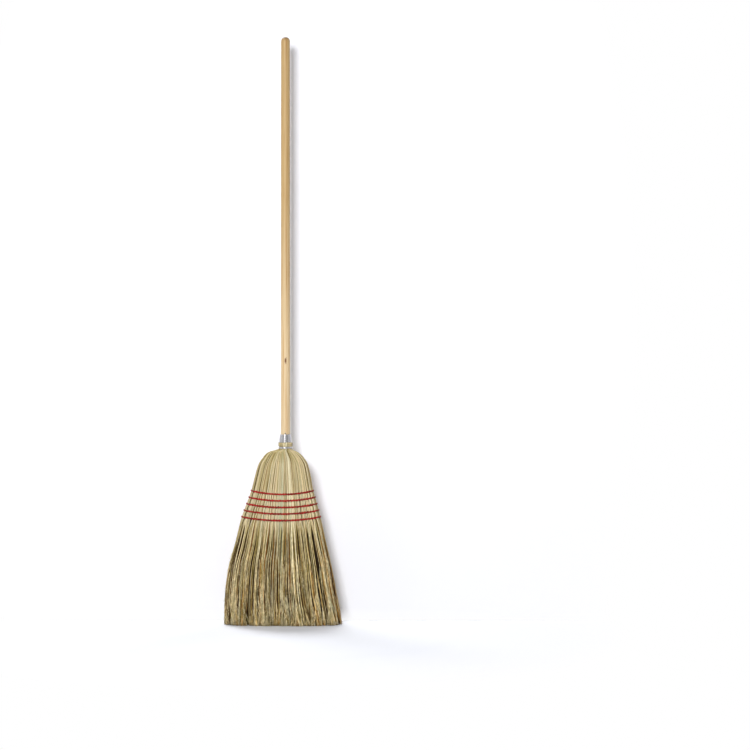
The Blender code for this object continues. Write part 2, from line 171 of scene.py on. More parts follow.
def sag(height, x):
    """How far a level hangs below its height at a place across the head."""
    half_width, _, centre, _ = outline(height)
    off_centre = np.minimum(np.abs((x - centre) / half_width), 1)
    return row_sag * np.interp(height / head_height, *sag_shares) * (1 - off_centre ** 2)


def nip(height):
    """How far the sewing pulls the straw in at a height."""
    apart = (np.asarray(height)[..., None] - row_heights) / row_nip_reach
    return row_nip * np.exp(-apart ** 2).sum(-1)


def section_spot(height, angle, depth):
    """Place across and along the depth, at an angle from the front, a depth under the outside."""
    half_width, half_depth, centre, power = outline(height)
    across = np.sin(angle)
    deep = np.cos(angle)
    x = centre + (half_width - depth) * np.sign(across) * np.abs(across) ** (2 / power)
    y = -(half_depth - depth) * np.sign(deep) * np.abs(deep) ** (2 / power)
    return x, y


def head_point(height, angle, depth):
    x, y = section_spot(height, angle, depth)
    return np.stack((x, y, height - sag(height, x)), -1)


def across_and_out(height, angle):
    """Level directions along the outline and out of it."""
    before = np.stack(section_spot(height, angle - small_turn, 0), -1)
    after = np.stack(section_spot(height, angle + small_turn, 0), -1)
    x, y = np.moveaxis(unit(after - before), -1, 0)
    return np.stack((x, y, 0 * x), -1), np.stack((y, -x, 0 * x), -1)


def run_along(path):
    """Distances along a path from its first point to each one."""
    return np.concatenate(((0,), np.linalg.norm(np.diff(path, axis=0), axis=1).cumsum()))


def outline_run(height, angles):
    """Distances along the outline at a height to each of the angles."""
    return run_along(np.stack(section_spot(np.full(angles.shape, height), angles, 0), -1))


def perimeter(height):
    return outline_run(height, np.linspace(0, full_turn, round_points))[-1]


def even_angles(shares, height):
    """Angles of places that lie at these shares of the way round the outline, from the back."""
    angles = np.linspace(-math.pi, math.pi, even_points)
    run = outline_run(height, angles)
    return np.interp(shares, run / run[-1], angles)


# Tubes and meshes

cap_share = 0.03
side_border = 0.06
end_border = 0.01
cell_slimness = 16


def side_and_up(path, out):
    """Directions to the side of each path and up from it, nearly along out."""
    along = unit(np.gradient(path, axis=-2))
    side = unit(np.cross(along, out))
    return side, np.cross(side, along)


def tubes(path, half_width, half_thickness, out, looks, sides):
    """Rings round each path of (tube, point, 3), flattened along out, and their looks."""
    side, up = side_and_up(path, out)
    turn = np.arange(sides) * full_turn / sides
    wide = side[:, :, None] * (half_width[..., None] * np.cos(turn))[..., None]
    thick = up[:, :, None] * (half_thickness[..., None] * np.sin(turn))[..., None]
    return path[:, :, None] + wide + thick, looks


def looks_of(tone, hue=0.0, skirt_share=0.0):
    """Values of the looks attribute, with the tone halved so that light straw stays under 1."""
    return np.stack(np.broadcast_arrays(tone / 2, np.clip(hue, 0, 1), 0.0, skirt_share), -1)


def ring_quads(rings, sides):
    """Corners of the faces between rings of points, in rows."""
    row = np.arange(rings - 1)[:, None] * sides
    here = np.arange(sides)
    after = (here + 1) % sides
    return np.stack((row + here, row + sides + here, row + sides + after, row + after), -1)


def tube_faces(count, points, sides):
    """Corners and sizes of the faces of a batch of tubes, and each corner's cell and place in it."""
    here = np.arange(sides)
    rows = np.arange(points - 1)
    corners = np.concatenate((ring_quads(points, sides).ravel(), here, rows.size * sides + here[::-1]))
    sizes = np.concatenate((np.full(rows.size * sides, 4), (sides, sides)))
    across = (here[:, None] + (0, 0, 1, 1)) / sides
    along = cap_share + (rows[:, None, None] + (0, 1, 1, 0)) / rows.size * (1 - 2 * cap_share)
    walls = np.stack(np.broadcast_arrays(across, along), -1).reshape(-1, 2)
    turn = here * full_turn / sides
    cap = 0.5 + 0.5 * np.stack((np.cos(turn), np.sin(turn)), -1)
    far_cap = cap[::-1] * (1, cap_share) + (0, 1 - cap_share)
    places = np.concatenate((walls, cap * (1, cap_share), far_cap))
    all_corners = (np.arange(count)[:, None] * points * sides + corners).ravel()
    cells = np.repeat(np.arange(count), len(corners))
    return all_corners, np.tile(sizes, count), cells, np.tile(places, (count, 1))


def tube_mesh(name, batches):
    """One mesh of many closed tubes, with a looks attribute and a map that has a cell for each."""
    parts = []
    point_count = 0
    cell_count = 0
    for rings, looks in batches:
        count, steps, sides, _ = rings.shape
        corners, sizes, cells, places = tube_faces(count, steps, sides)
        points = rings.reshape(-1, 3)
        looks = np.repeat(looks[:, :, None], sides, axis=2).reshape(-1, 4)
        parts.append((points, corners + point_count, sizes, cells + cell_count, places, looks))
        point_count += len(points)
        cell_count += count
    points, corners, sizes, cells, places, looks = map(np.concatenate, zip(*parts))
    columns = math.ceil(math.sqrt(cell_count * cell_slimness))
    lines = math.ceil(cell_count / columns)
    u, v = places.T
    u = (cells % columns + side_border + (1 - 2 * side_border) * u) / columns
    v = (cells // columns + end_border + (1 - 2 * end_border) * v) / lines
    return plain_mesh(name, points, corners, sizes, np.stack((u, v), -1), looks)


def plain_mesh(name, points, corners, sizes, places, looks):
    """A smooth mesh from arrays of points, face corners, face sizes, map places and looks."""
    mesh = bpy.data.meshes.new(name)
    mesh.vertices.add(len(points))
    mesh.vertices.foreach_set("co", points.astype(np.float32).ravel())
    mesh.loops.add(len(corners))
    mesh.loops.foreach_set("vertex_index", corners.astype(np.int32))
    mesh.polygons.add(len(sizes))
    starts = np.concatenate(((0,), np.cumsum(sizes)[:-1]))
    mesh.polygons.foreach_set("loop_start", starts.astype(np.int32))
    mesh.polygons.foreach_set("use_smooth", np.asarray(sizes) == 4)
    mesh.update(calc_edges=True)
    layer = mesh.uv_layers.new(name="OFBake")
    layer.uv.foreach_set("vector", places.astype(np.float32).ravel())
    attribute = mesh.attributes.new("looks", "FLOAT_COLOR", "POINT")
    attribute.data.foreach_set("color", looks.astype(np.float32).ravel())
    return mesh


def new_item(name, data):
    item = bpy.data.objects.new(name, data)
    bpy.context.scene.collection.objects.link(item)
    return item


# Locks of the skirt

# Kinds of lock as columns, rows, least and most pull and spread of their lean, then the changes of
# tone and hue, then heights and the shares of their grip on the straw there
lock_kinds = (
    ((21, 4, 0.28, 0.80, 0.0060), (0.03, 0.00),
     (0.00, 0.06, 0.12, 0.215, 0.245), (0.15, 0.40, 1.00, 1.00, 0.00)),
    ((22, 5, 0.05, 0.60, 0.0040), (0.03, 0.45),
     (0.00, 0.05, 0.11, 0.17), (0.35, 0.90, 0.70, 0.00)),
    ((56, 9, 0.28, 0.72, 0.0017), (0.08, 0.00),
     (0.00, 0.07, 0.13, 0.22, 0.243), (0.10, 0.40, 1.00, 0.90, 0.00)),
    ((70, 9, 0.28, 0.71, 0.0017), (0.12, 0.20),
     (0.00, 0.04, 0.10, 0.16), (0.35, 0.80, 0.80, 0.00)),
)
lock_widths = (0.35, 1.8)
lock_depth_spread = 0.3
lock_rises = (-0.012, 0.022)
lock_depth = 0.94
brown_lock_from = 0.8
edge_share = 0.975
edge_squeeze = 0.7


def lock_table(columns, rows, least_pull, most_pull, lean):
    """Locks as places across and deep, pull, leans across and deep, rise, and draws of tone and hue."""
    table = []
    for row in range(rows):
        widths = random.uniform(*lock_widths, columns)
        edges = np.concatenate(((0,), widths.cumsum()))
        middles = (edges[1:] + edges[:-1]) / edges[-1] - 1
        deep = 2 * (row + 0.5) / rows - 1
        for middle in middles:
            spot = middle, deep + random.normal(0, lock_depth_spread / rows)
            pull = random.uniform(least_pull, most_pull)
            leans = random.normal(0, lean), random.normal(0, lean / 2)
            rise = random.uniform(*lock_rises)
            table.append((*spot, pull, *leans, rise, *random.normal(0, 1, 2)))
    return np.array(table)


lock_tables = [(lock_table(*sizes), *rest) for sizes, *rest in lock_kinds]


def nearest_locks(table, x, y):
    """The table's columns for the lock nearest to each place at the roots."""
    half_width, half_depth, centre, _ = outline(np.array(root_height))
    across = ((x - centre) / half_width)[:, None] - table[:, 0]
    deep = (y / half_depth)[:, None] - table[:, 1]
    apart = (across * half_width) ** 2 + (deep * half_depth) ** 2
    return table[apart.argmin(1)].T[..., None]


def gathered(path, height, x, y):
    """The path drawn into the locks of its place at the roots, with its changes of tone and hue."""
    half_width, half_depth, centre, _ = outline(height)
    drop = ramp((root_height - height) / root_height)
    moved = path.copy()
    tone = np.zeros(height.shape)
    hue = np.zeros(height.shape)
    for table, (tone_change, hue_change), grip_heights, grips in lock_tables:
        across, deep, pull, lean_across, lean_deep, rise, light, brown = nearest_locks(table, x, y)
        grip = np.interp(height + rise, grip_heights, grips)
        middle = deep * half_depth * lock_depth
        moved[..., 0] += pull * grip * (centre + across * half_width - moved[..., 0])
        moved[..., 1] += pull * grip * (middle - moved[..., 1])
        moved[..., 0] += lean_across * drop
        moved[..., 1] += lean_deep * drop
        tone += tone_change * light * grip
        hue += hue_change * np.clip(brown - brown_lock_from, 0, brown_lock_from) * drop
    for axis, middle, half in ((0, centre, half_width), (1, 0, half_depth)):
        share = (moved[..., axis] - middle) / half
        past = np.maximum(np.abs(share) - edge_share, 0)
        moved[..., axis] -= np.sign(share) * past * edge_squeeze * half
    return moved, tone, hue


# Draws that all the straw shares

# Places on the straw's colour ramps: the middle and spread of pale straw, then the ranges of green,
# pink and brown straws, and the shares of all straws where each kind ends or begins
pale_hues = (0.38, 0.10)
rare_hues = ((0.0, 0.16), (0.72, 0.86), (0.9, 1.0))
green_below, pink_above, brown_above = 0.10, 0.90, 0.96

# Slow waves along a straw, as lengths and shares of the whole wander
wave_kinds = ((0.16, 1.0), (0.075, 0.5), (0.036, 0.25))
tail_freedom = 3
most_lean = 5


def straw_hues(count):
    """Places on the straw's colour ramps, most of them those of pale straw."""
    kinds = random.random(count)
    pale = random.normal(*pale_hues, count)
    green, pink, brown = (random.uniform(*hues, count) for hues in rare_hues)
    chosen = kinds < green_below, kinds > brown_above, kinds > pink_above
    return np.select(chosen, (green, brown, pink), pale).clip(0, 1)


def random_slopes(count, lean):
    """Slopes of straws from their leans in degrees, most of them small and a few of them large."""
    degrees = random.standard_t(tail_freedom, (count, 1)) * lean
    return np.tan(np.radians(np.clip(degrees, -most_lean, most_lean)))


def fine_halves(width, count):
    """Half widths of fine stems."""
    return width / 2 * random.lognormal(0, fine_width_spread, (count, 1))


def waves(height, size):
    """Slow side-to-side wander along each straw."""
    total = 0
    for length, share in wave_kinds:
        phase = random.uniform(0, full_turn, (len(height), 1))
        weight = random.normal(0, 1, (len(height), 1)) * share
        total = total + weight * np.sin(height * full_turn / length + phase)
    return total * size


# Surface straw

surface_straws = 1300
surface_sides = 5
straw_pitch = 0.0020
straw_width = 0.0020
straw_width_spread = 0.28
straw_widths = (0.5, 1.6)
straw_flatness = 0.66
straw_thickness = 0.0009
straw_scatter = 0.15
straw_lean = 0.75
layer_gap = 0.0011
most_layers = 4
tip_room_share = 1.42
tip_raggedness = 0.009
tip_power = 3.5
tip_clearance = 0.0003
side_wave = 0.0010
out_wave = 0.0006
even_height = 0.35 * head_height
dome_steps = 22
dome_measures = 200
skirt_steps = 16

# Shares of the head's height, with the straws' width, their looseness and their hold by a wisp there
taper_shares = (0, 0.10, 0.35, 0.7, 0.96, 1.0), (0.36, 0.48, 0.66, 0.92, 1.0, 0.7)
looseness_shares = (0, 0.3, 0.58, 0.8, 1.0), (1.4, 0.9, 0.25, 0.45, 0.1)
wisp_hold_shares = (0.3, 0.55, 0.62, 0.90, 0.97), (0, 0.3, 0.8, 1, 0)

# Wisps of the dome as a count, the change of tone, then the pull towards their middles in the middle
# of the broad faces and at the sides
dome_wisps = (
    (96, 0.06, 0.30, 0.78),
    (46, 0.00, 0.05, 0.50),
)
wisp_scatter = 0.42
wisp_pulls = (0.4, 1.3)
wisp_tones = (-2, 1)

# Strips of green straws as the angle of their middle and half their width, then tones and hues by place,
# with painted shade on the dome's sides, below the neck and under the rows and painted light at the tips,
# and painted shade and hue by layer for buried straws
green_strips = ((0, 0.022), (3.0, 0.015), (-3.0, 0.015))
strip_hue = 0.05
strip_light = 0.08
side_share = 0.8
side_hue = 0.10
tone_spread = 0.14
tone_limits = (-3.5, 1.4)
tone_lift = 0.02
least_tone = 0.22
dome_from_share = 0.46
dome_rise_share = 0.14
dome_variety = (0.60, 1.80)
dome_lift = 0.04
side_shade = 0.11
neck_shade = 0.20
neck_shade_heights = (0.91 * head_height, 0.965 * head_height, head_height, band_top)
skirt_above_roots = 0.03
skirt_fade = 0.10
skirt_contrast = 0.40
skirt_tone = 0.66
row_light = 0.10
row_green = 0.12
row_light_heights = (root_height - 0.006, row_heights[-1], row_heights[0], row_heights[0] + 0.014)
under_row_shade = 0.07
under_row_heights = (0.165, 0.195, root_height - 0.010, root_height)
# Paler cut ends and painted light on the lowest millimetres of the surface straw
tip_pale_and_painted_light = 0.80
tip_pale_and_light_reach = 0.009
layer_shade = 0.19
skirt_layer_shade = 0.09
layer_shade_hue = 0.15
most_shaded_layer = 3
neck_layer_shade_share = 0.4
neck_layer_shade_fade = 0.03


def straw_levels():
    """Heights of the straws' points from the butts down to the lowest row."""
    neck = (butt_top, (butt_top + ring_top) / 2, ring_top, ring_top - ring_edge,
            band_top + ring_edge, band_top, head_height)
    heights = np.linspace(row_heights[0], head_height, dome_measures)
    run = np.hypot(np.diff(heights), np.diff(outline(heights)[0])).cumsum()
    dome = np.interp(np.linspace(1, 0, dome_steps)[1:-1] * run[-1], run, heights[1:])
    rows = np.linspace(row_heights[0], row_heights[-1], 2 * row_count - 1)
    return np.concatenate((neck, dome, rows))


def nearest_wisps(angles, count):
    """Each straw's wisp, of this many round the head, and the turn from the straw to its middle."""
    shares = (np.arange(count) + random.uniform(-wisp_scatter, wisp_scatter, count)) / count
    middles = np.sort(even_angles(shares % 1, even_height))
    nearest = np.abs(angles[:, None] - middles).argmin(1)
    return nearest, middles[nearest] - angles


def draw_straws():
    """What differs from one surface straw to the next."""
    count = surface_straws
    number = np.arange(count)
    golden = (math.sqrt(5) - 1) / 2
    shares = (number * golden + random.normal(0, straw_scatter, count) / count) % 1
    angle = even_angles(shares, even_height)
    tip = tip_clearance + tip_raggedness * random.random(count) ** tip_power
    width = straw_width * random.lognormal(0, straw_width_spread, count).clip(*straw_widths)
    hue = straw_hues(count)
    side = ramp(np.abs(np.sin(angle)) / side_share)
    strip = sum(np.abs(angle - middle) < half for middle, half in green_strips) > 0
    hue = np.where(strip, strip_hue, hue + side_hue * side)
    tone = tone_spread * random.standard_t(tail_freedom, count).clip(*tone_limits)
    tone = tone + strip_light * strip + tone_lift
    turn = np.zeros(count)
    for wisps, tone_change, *pulls in dome_wisps:
        nearest, towards = nearest_wisps(angle, wisps)
        turn += towards * random.uniform(*wisp_pulls, wisps)[nearest] * np.interp(side, (0, 1), pulls)
        tone += tone_change * random.normal(0, 1, wisps).clip(*wisp_tones)[nearest]
    slope = random_slopes(count, straw_lean)[:, 0]
    return dict(
        number=number, angle=angle, turn=turn, side=side, slope=slope, tip=tip, width=width,
        tone=tone, hue=hue,
    )


def straw_layers(number, height, upper, room):
    """How many layers of straw lie over each straw at a height."""
    lengths = np.interp(height, upper[::-1], room[::-1])
    below = room[-1] * np.interp(height, (0, root_height), (tip_room_share, 1.0))
    lengths = np.where(height < upper[-1], below, lengths)
    return np.minimum(number / lengths, most_layers)


def surface_looks(straw, height, layer, tone_change, hue_change):
    """Tone and hue along the straws, by their place on the broom and how deep they lie, with painted shade
    below the neck, on the dome's sides, under the rows and on buried layers, and painted light at the
    tips.
    """
    in_skirt = ramp((root_height + skirt_above_roots - height) / skirt_fade)
    in_dome = ramp((height / head_height - dome_from_share) / dome_rise_share)
    sewn = band(height, row_light_heights)
    # Painted shade on straws that lie under others, more for each layer up to a limit, less of it at the
    # neck
    neck = np.interp(height, (ring_top - neck_layer_shade_fade, ring_top), (1, neck_layer_shade_share))
    shaded_layers = np.minimum(layer, most_shaded_layer) * neck
    variety = 1 + in_dome * (np.interp(straw["side"], (0, 1), dome_variety) - 1)
    # Painted shade below the neck, on the sides of the dome and under the sewn rows
    shade = neck_shade * band(height, neck_shade_heights)
    shade = shade + side_shade * straw["side"] * in_dome
    shade = shade + under_row_shade * band(height, under_row_heights)
    tone = 1 + dome_lift * in_dome + row_light * sewn + straw["tone"] * variety + tone_change
    tone = tone - shade - (layer_shade + skirt_layer_shade * in_skirt) * shaded_layers
    # Pale cut ends together with painted light that brightens the lowest straw
    tip_pale_and_light = tip_pale_and_painted_light * ramp(1 - height / tip_pale_and_light_reach)
    tone = tone + tip_pale_and_light + skirt_contrast * in_skirt * (tone - skirt_tone)
    hue = straw["hue"] + hue_change + layer_shade_hue * shaded_layers - row_green * sewn
    return looks_of(np.maximum(tone, least_tone), hue, in_skirt)


def surface_tubes(straw, levels, upper, room):
    """Tubes of the straws that start at the same level and show on the same side."""
    count = len(straw["angle"])
    low = straw["tip"] + (root_height - straw["tip"]) * np.linspace(1, 0, skirt_steps)
    height = np.concatenate((np.tile(levels, (count, 1)), low), 1)
    angle = straw["angle"] + straw["turn"] * np.interp(height / head_height, *wisp_hold_shares)
    layer = straw_layers(straw["number"], height, upper, room)
    half = straw["width"] / 2 * np.interp(height / head_height, *taper_shares)
    thick = np.minimum(half * straw_flatness, straw_thickness)
    free = np.where(height >= head_height, straw_on_handle(height), math.inf)
    gap = np.minimum(layer_gap, free / (most_layers + 1))
    depth = layer * gap + nip(height) + thick
    depth = np.minimum(depth, np.maximum(free - thick, thick))
    across, out = across_and_out(height, angle)
    looseness = np.interp(height / head_height, *looseness_shares)
    path = head_point(height, angle, depth)
    path += across * (waves(height, side_wave) * looseness)[..., None]
    path += out * (waves(height, out_wave) * looseness * (height < root_height))[..., None]
    path += across * (straw["slope"] * np.maximum(root_height - height, 0))[..., None]
    at_root = section_spot(np.full(count, root_height), straw["angle"][:, 0], layer_gap)
    path, tone_change, hue_change = gathered(path, height, *at_root)
    looks = surface_looks(straw, height, layer, tone_change, hue_change)
    return tubes(path, half, thick, out, looks, surface_sides)


def make_surface_straw():
    """The straws that show, by side, from the neck to the tips, in layers near the neck."""
    upper = straw_levels()
    room = np.array([perimeter(level) for level in upper]) / straw_pitch
    straws = draw_straws()
    first = np.array([int(np.argmax(number < room * most_layers)) for number in straws["number"]])
    sides = {"front": [], "right": [], "back": [], "left": []}
    for start in sorted(set(first)):
        for quarter, batches in enumerate(sides.values()):
            middle = quarter * quarter_turn
            turned = np.abs((straws["angle"] - middle + math.pi) % full_turn - math.pi)
            chosen = (first == start) & (turned <= quarter_turn / 2)
            if chosen.any():
                straw = {name: values[chosen, None] for name, values in straws.items()}
                batches.append(surface_tubes(straw, upper[start:], upper, room))
    return sides


# Inside straw

inside_straws = 4400
inside_points = 8
inside_power = 2.5
inside_inset = 0.003
inside_above_roots = 0.012
inside_width = 0.00125
inside_tip_share = 0.55
inside_flatness = 0.8
inside_tip_power = 3
inside_waves = (0.0016, 0.0010)
inside_wave_reach = 0.12
inside_lean = 1.5 * straw_lean
fine_width_spread = 0.2
fine_sides = 3
# Painted shade of the inside straws: a dark tone, darker and browner further in, gone at the open tips
inside_shade_tone = 0.31
inside_tone_spread = 0.05
inside_lock_share = 0.4
inner_shade_reach = 0.014
inner_shade = 0.14
inside_shade_hue = 0.55
inner_shade_hue = 0.3
open_tip_tone = 0.68
open_tip_height = 0.030
open_tip_fade = 0.025


def make_inside_straw():
    """The straws that fill the skirt, made dark with painted shade but for their tips."""
    tries = random.uniform(-1, 1, (3 * inside_straws, 2))
    spots = tries[(np.abs(tries) ** inside_power).sum(1) < 1][:inside_straws]
    count = len(spots)
    tips = tip_clearance + tip_raggedness * random.random((count, 1)) ** inside_tip_power
    height = tips + (root_height + inside_above_roots - tips) * np.linspace(1, 0, inside_points)
    half_width, half_depth, centre, _ = outline(height)
    loose = ramp((root_height - height) / inside_wave_reach)
    x = centre + spots[:, 0, None] * (half_width - inside_inset)
    y = spots[:, 1, None] * (half_depth - inside_inset)
    x = x + waves(height, inside_waves[0]) * loose
    y = y + waves(height, inside_waves[1]) * loose
    x = x + random_slopes(count, inside_lean) * (root_height - height)
    path = np.stack((x, y, height - sag(height, x)), -1)
    path, tone_change, hue_change = gathered(path, height, x[:, 0], y[:, 0])
    face = random.uniform(0, full_turn, (count, 1))
    out = np.stack((np.cos(face), np.sin(face), 0 * face), -1) * np.ones((count, inside_points, 1))
    half = fine_halves(inside_width, count) * np.interp(height, (0, root_height), (inside_tip_share, 1))
    inner = ((1 - np.abs(spots)) * (skirt_width / 2, skirt_depth / 2)).min(1)[:, None]
    inner = ramp(inner / inner_shade_reach)
    open_tip = ramp((open_tip_height - height) / open_tip_fade)
    # Painted shade: dark inside straws, darker further in, back to their own tone at the tips
    tone = inside_shade_tone - inner_shade * inner + random.normal(0, inside_tone_spread, (count, 1))
    tone = tone + inside_lock_share * tone_change
    tone = tone + (open_tip_tone - tone) * open_tip
    hue = straw_hues(count)[:, None] + hue_change
    hue = hue + (inside_shade_hue + inner_shade_hue * inner) * (1 - open_tip)
    return [tubes(path, half, half * inside_flatness, out, looks_of(tone, hue, 1.0), fine_sides)]


# Inside bundle

bundle_sides = 220
bundle_levels = 14
bundle_layers = most_layers + 0.6
bundle_below_roots = 0.006
bundle_tone = 0.60
bundle_hue = 0.45
ridge_size = 0.0005
ridge_kinds = ((61, 0), (97, 1), (37, 2))


def make_inside_bundle():
    """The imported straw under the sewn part, bored for the handle."""
    angles = np.linspace(0, full_turn, bundle_sides, endpoint=False)
    ridges = ridge_size * sum(np.sin(angles * count + phase) for count, phase in ridge_kinds)
    inset = layer_gap * bundle_layers + ridges
    bottom = root_height - bundle_below_roots
    bore = handle_radius + piece_gap / 2
    bore_bottom = handle_low.z - piece_gap
    round_bore = handle_x + bore * np.sin(angles), -bore * np.cos(angles)
    rings = [np.stack((*round_bore, 0 * angles + height), -1) for height in (bore_bottom, core_top)]
    for height in np.linspace(core_top, bottom, bundle_levels):
        level = np.full(bundle_sides, height)
        rings.append(head_point(level, angles, inset + nip(level)))
    last_middle = rings[-1][:, 0].mean(), 0, rings[-1][:, 2].mean()
    points = np.concatenate((*rings, [(handle_x, 0, bore_bottom)], [last_middle]))
    here = np.arange(bundle_sides)
    after = (here + 1) % bundle_sides
    quads = ring_quads(len(rings), bundle_sides)
    last = (len(rings) - 1) * bundle_sides
    first_fan = np.stack((here, after, 0 * here + len(points) - 2), -1)
    last_fan = np.stack((last + after, last + here, 0 * here + len(points) - 1), -1)
    corners = np.concatenate((quads.ravel(), first_fan.ravel(), last_fan.ravel()))
    sizes = np.concatenate((np.full(quads[..., 0].size, 4), np.full(2 * bundle_sides, 3)))
    turn = corners % bundle_sides / bundle_sides
    rise = (points[corners, 2] - bottom) / (core_top - bottom)
    places = np.stack((turn, rise), -1).clip(end_border, 1 - end_border)
    looks = looks_of(np.full(len(points), bundle_tone), bundle_hue)
    return plain_mesh("inside_bundle", points, corners, sizes, places, looks)


# Fine branches

branch_tufts = 1160
tuft_branches = 6
branch_points = 5
branch_width = 0.00080
branch_taper = 0.55
branch_length = 0.040
branch_lengths = (0.45, 1.2)
branch_lean = 7
branch_bend = 1.3
branch_depths = (0.0003, 0.0030)
branch_rise = 0.5
least_branch_start = 0.006
least_branch_end = 0.001
tuft_lowest = 0.014
tuft_reach = 0.165
tuft_power = 1.5
tuft_lean = 13
tuft_spread = 0.009
tuft_height_spread = 0.003
tuft_even_height = 0.1 * head_height
stray_share = 0.05
stray_reach = 0.005
stray_bend = 1.5
least_stray = 0.3
branch_tone = 1.17
branch_tone_spread = 0.08
tuft_tone_spread = 0.30
branch_lock_share = 0.7


def make_fine_branches():
    """Tufts of thin side branches that cross the straws in the lower skirt."""
    tuft = np.repeat(np.arange(branch_tufts), tuft_branches)
    count = len(tuft)
    angles = even_angles(random.random(branch_tufts), tuft_even_height)[tuft, None]
    angles = angles + random.normal(0, tuft_spread, (count, 1))
    start = tuft_lowest + tuft_reach * random.random((branch_tufts, 1))[tuft] ** tuft_power
    start = np.maximum(start + random.normal(0, tuft_height_spread, (count, 1)), least_branch_start)
    length = branch_length * random.uniform(*branch_lengths, (count, 1))
    end = np.maximum(start - length, least_branch_end)
    share = np.linspace(0, 1, branch_points)
    height = start + (end - start) * share
    depth = random.uniform(*branch_depths, (count, 1)) * (1 - branch_rise * share)
    angle = angles * np.ones(branch_points)
    across, out = across_and_out(height, angle)
    lean = random.normal(0, tuft_lean, (branch_tufts, 1))[tuft]
    slope = np.tan(np.radians(lean + random.normal(0, branch_lean, (count, 1))))
    path = head_point(height, angle, depth)
    at_root = section_spot(np.full(count, root_height), angles[:, 0], layer_gap)
    path += across * (slope * (start - end) * share ** branch_bend)[..., None]
    path, tone_change, hue_change = gathered(path, height, *at_root)
    stray = (random.random((count, 1)) < stray_share) * random.uniform(least_stray, 1, (count, 1))
    path += out * (stray * stray_reach * share ** stray_bend)[..., None]
    half = fine_halves(branch_width, count) * (1 - branch_taper * share)
    tone = branch_tone + random.normal(0, tuft_tone_spread, (branch_tufts, 1))[tuft]
    tone = tone + random.normal(0, branch_tone_spread, (count, 1)) + branch_lock_share * tone_change
    hue = straw_hues(branch_tufts)[tuft, None] + hue_change
    return [tubes(path, half, half, out, looks_of(tone, hue, 1.0), fine_sides)]


# Twine

ply_count = 3
ply_share = 0.52
twine_lay = 0.0046
belt_radius = 0.00095
belt_points = 420
belt_lap = 0.004
belt_rest = 0.75
belt_apart = 0.95
belt_tone = 0.70
stitch_radius = 0.00130
stitch_points = 13
stitch_pitch = 0.0064
stitch_scatter = 0.0003
stitch_rise = 0.0021
stitch_arch = 2.2
stitched_share = 0.93
stitch_reaches = (0.46, 0.54)
stitch_rises = (0.75, 1.25)
stitch_sizes = (0.88, 1.08)
stitch_tone = 1.10
stitch_tone_spread = 0.34
stitch_tones = (0.62, 1.50)
most_off_centre = 0.999


def twine(path, out, radius, tone):
    """Twisted plies of one length of twine."""
    side, up = side_and_up(path, out)
    turns = run_along(path) / twine_lay + np.arange(ply_count)[:, None] / ply_count
    turns = (turns * full_turn)[..., None]
    outs = side * np.cos(turns) + up * np.sin(turns)
    half = np.full(outs.shape[:2], radius * ply_share)
    looks = looks_of(np.full(half.shape, tone))
    return tubes(path + outs * radius * ply_share, half, half, outs, looks, surface_sides)


def make_belt(height):
    """Two twines round the head, one above the other."""
    shares = np.linspace(0, 1 + belt_lap, belt_points)
    angles = even_angles(shares % 1, height)
    levels = np.full(belt_points, height)
    _, out = across_and_out(levels, angles)
    for side in (-1, 1):
        path = head_point(levels, angles, nip(levels) - belt_radius * belt_rest)
        path[:, 2] += side * belt_radius * belt_apart
        yield twine(path, out, belt_radius, belt_tone)


def make_stitches(height):
    """Slanted stitches over the belt, along both broad faces."""
    half_width, _, _, power = outline(np.array(height))
    stitches = int(stitched_share * 2 * half_width / stitch_pitch)
    steps = np.linspace(-1, 1, stitch_points)
    level = np.full(stitch_points, height)
    lift = (stitch_radius + stitch_arch * belt_radius) * (1 - steps ** 4)
    for face in (0, math.pi):
        for number in range(stitches):
            middle = (number + 0.5 - stitches / 2) * stitch_pitch + random.normal(0, stitch_scatter)
            reach = stitch_pitch * random.uniform(*stitch_reaches)
            place = (middle + steps * reach) / half_width
            off_centre = np.minimum(np.abs(place), most_off_centre) ** (power / 2)
            angle = face + np.arcsin(np.sign(place) * off_centre)
            path = head_point(level, angle, nip(level) + stitch_radius - lift)
            path[:, 2] += steps * stitch_rise * random.uniform(*stitch_rises)
            _, out = across_and_out(level, angle)
            radius = stitch_radius * random.uniform(*stitch_sizes)
            tone = np.clip(random.normal(stitch_tone, stitch_tone_spread), *stitch_tones)
            yield twine(path, out, radius, tone)


# Neck wire

wire_radius = 0.0007
wire_pitch = 0.00143
wire_sides = 10
wire_points = 64
wire_seat = 0.00005
seat_measures = 9
cross_turns = 0.5
wire_start_turns = 0.25
wire_end_turns = 0.04


def neck_outside(height):
    """Radius of the neck's straw, kept even below the shoulder."""
    half_width, _, _, _ = outline(height)
    return np.where(height < head_height, sleeve_radius + band_straw, half_width)


def make_winding():
    """One wire: a band, half a turn across the bare straw and the close turns of the cone."""
    low_band = (head_height + wire_radius, band_top - wire_radius)
    cone = (ring_top + wire_radius, cone_top - wire_radius)
    band_turns = (low_band[1] - low_band[0]) / wire_pitch
    cone_turns = round((cone[1] - cone[0]) / wire_pitch + wire_start_turns) - cross_turns + wire_end_turns
    cone_end = cross_turns + cone_turns
    turns = np.concatenate((
        np.linspace(-band_turns, 0, int(band_turns * wire_points)),
        np.linspace(0, cross_turns, wire_points // 2)[1:],
        np.linspace(cross_turns, cone_end, int(cone_turns * wire_points))[1:],
    ))
    height = np.interp(turns, (-band_turns, 0, cross_turns, cone_end), (*low_band, *cone))
    reach = np.linspace(-1, 1, seat_measures) * wire_radius
    bulge = np.sqrt(np.maximum(wire_radius ** 2 - reach ** 2, 0))
    radius = (neck_outside(height[:, None] + reach) + bulge).max(1) - wire_seat
    angle = (turns + wire_start_turns) * full_turn
    path = np.stack((handle_x + radius * np.sin(angle), -radius * np.cos(angle), height), -1)[None]
    out = np.stack((np.sin(angle), -np.cos(angle), 0 * angle), -1)[None]
    half = np.full(path.shape[:2], wire_radius)
    return [tubes(path, half, half, out, looks_of(np.ones(half.shape)), wire_sides)]


# Handle

handle_sides = 72
handle_levels = 49
end_levels = 12
end_share = 0.964


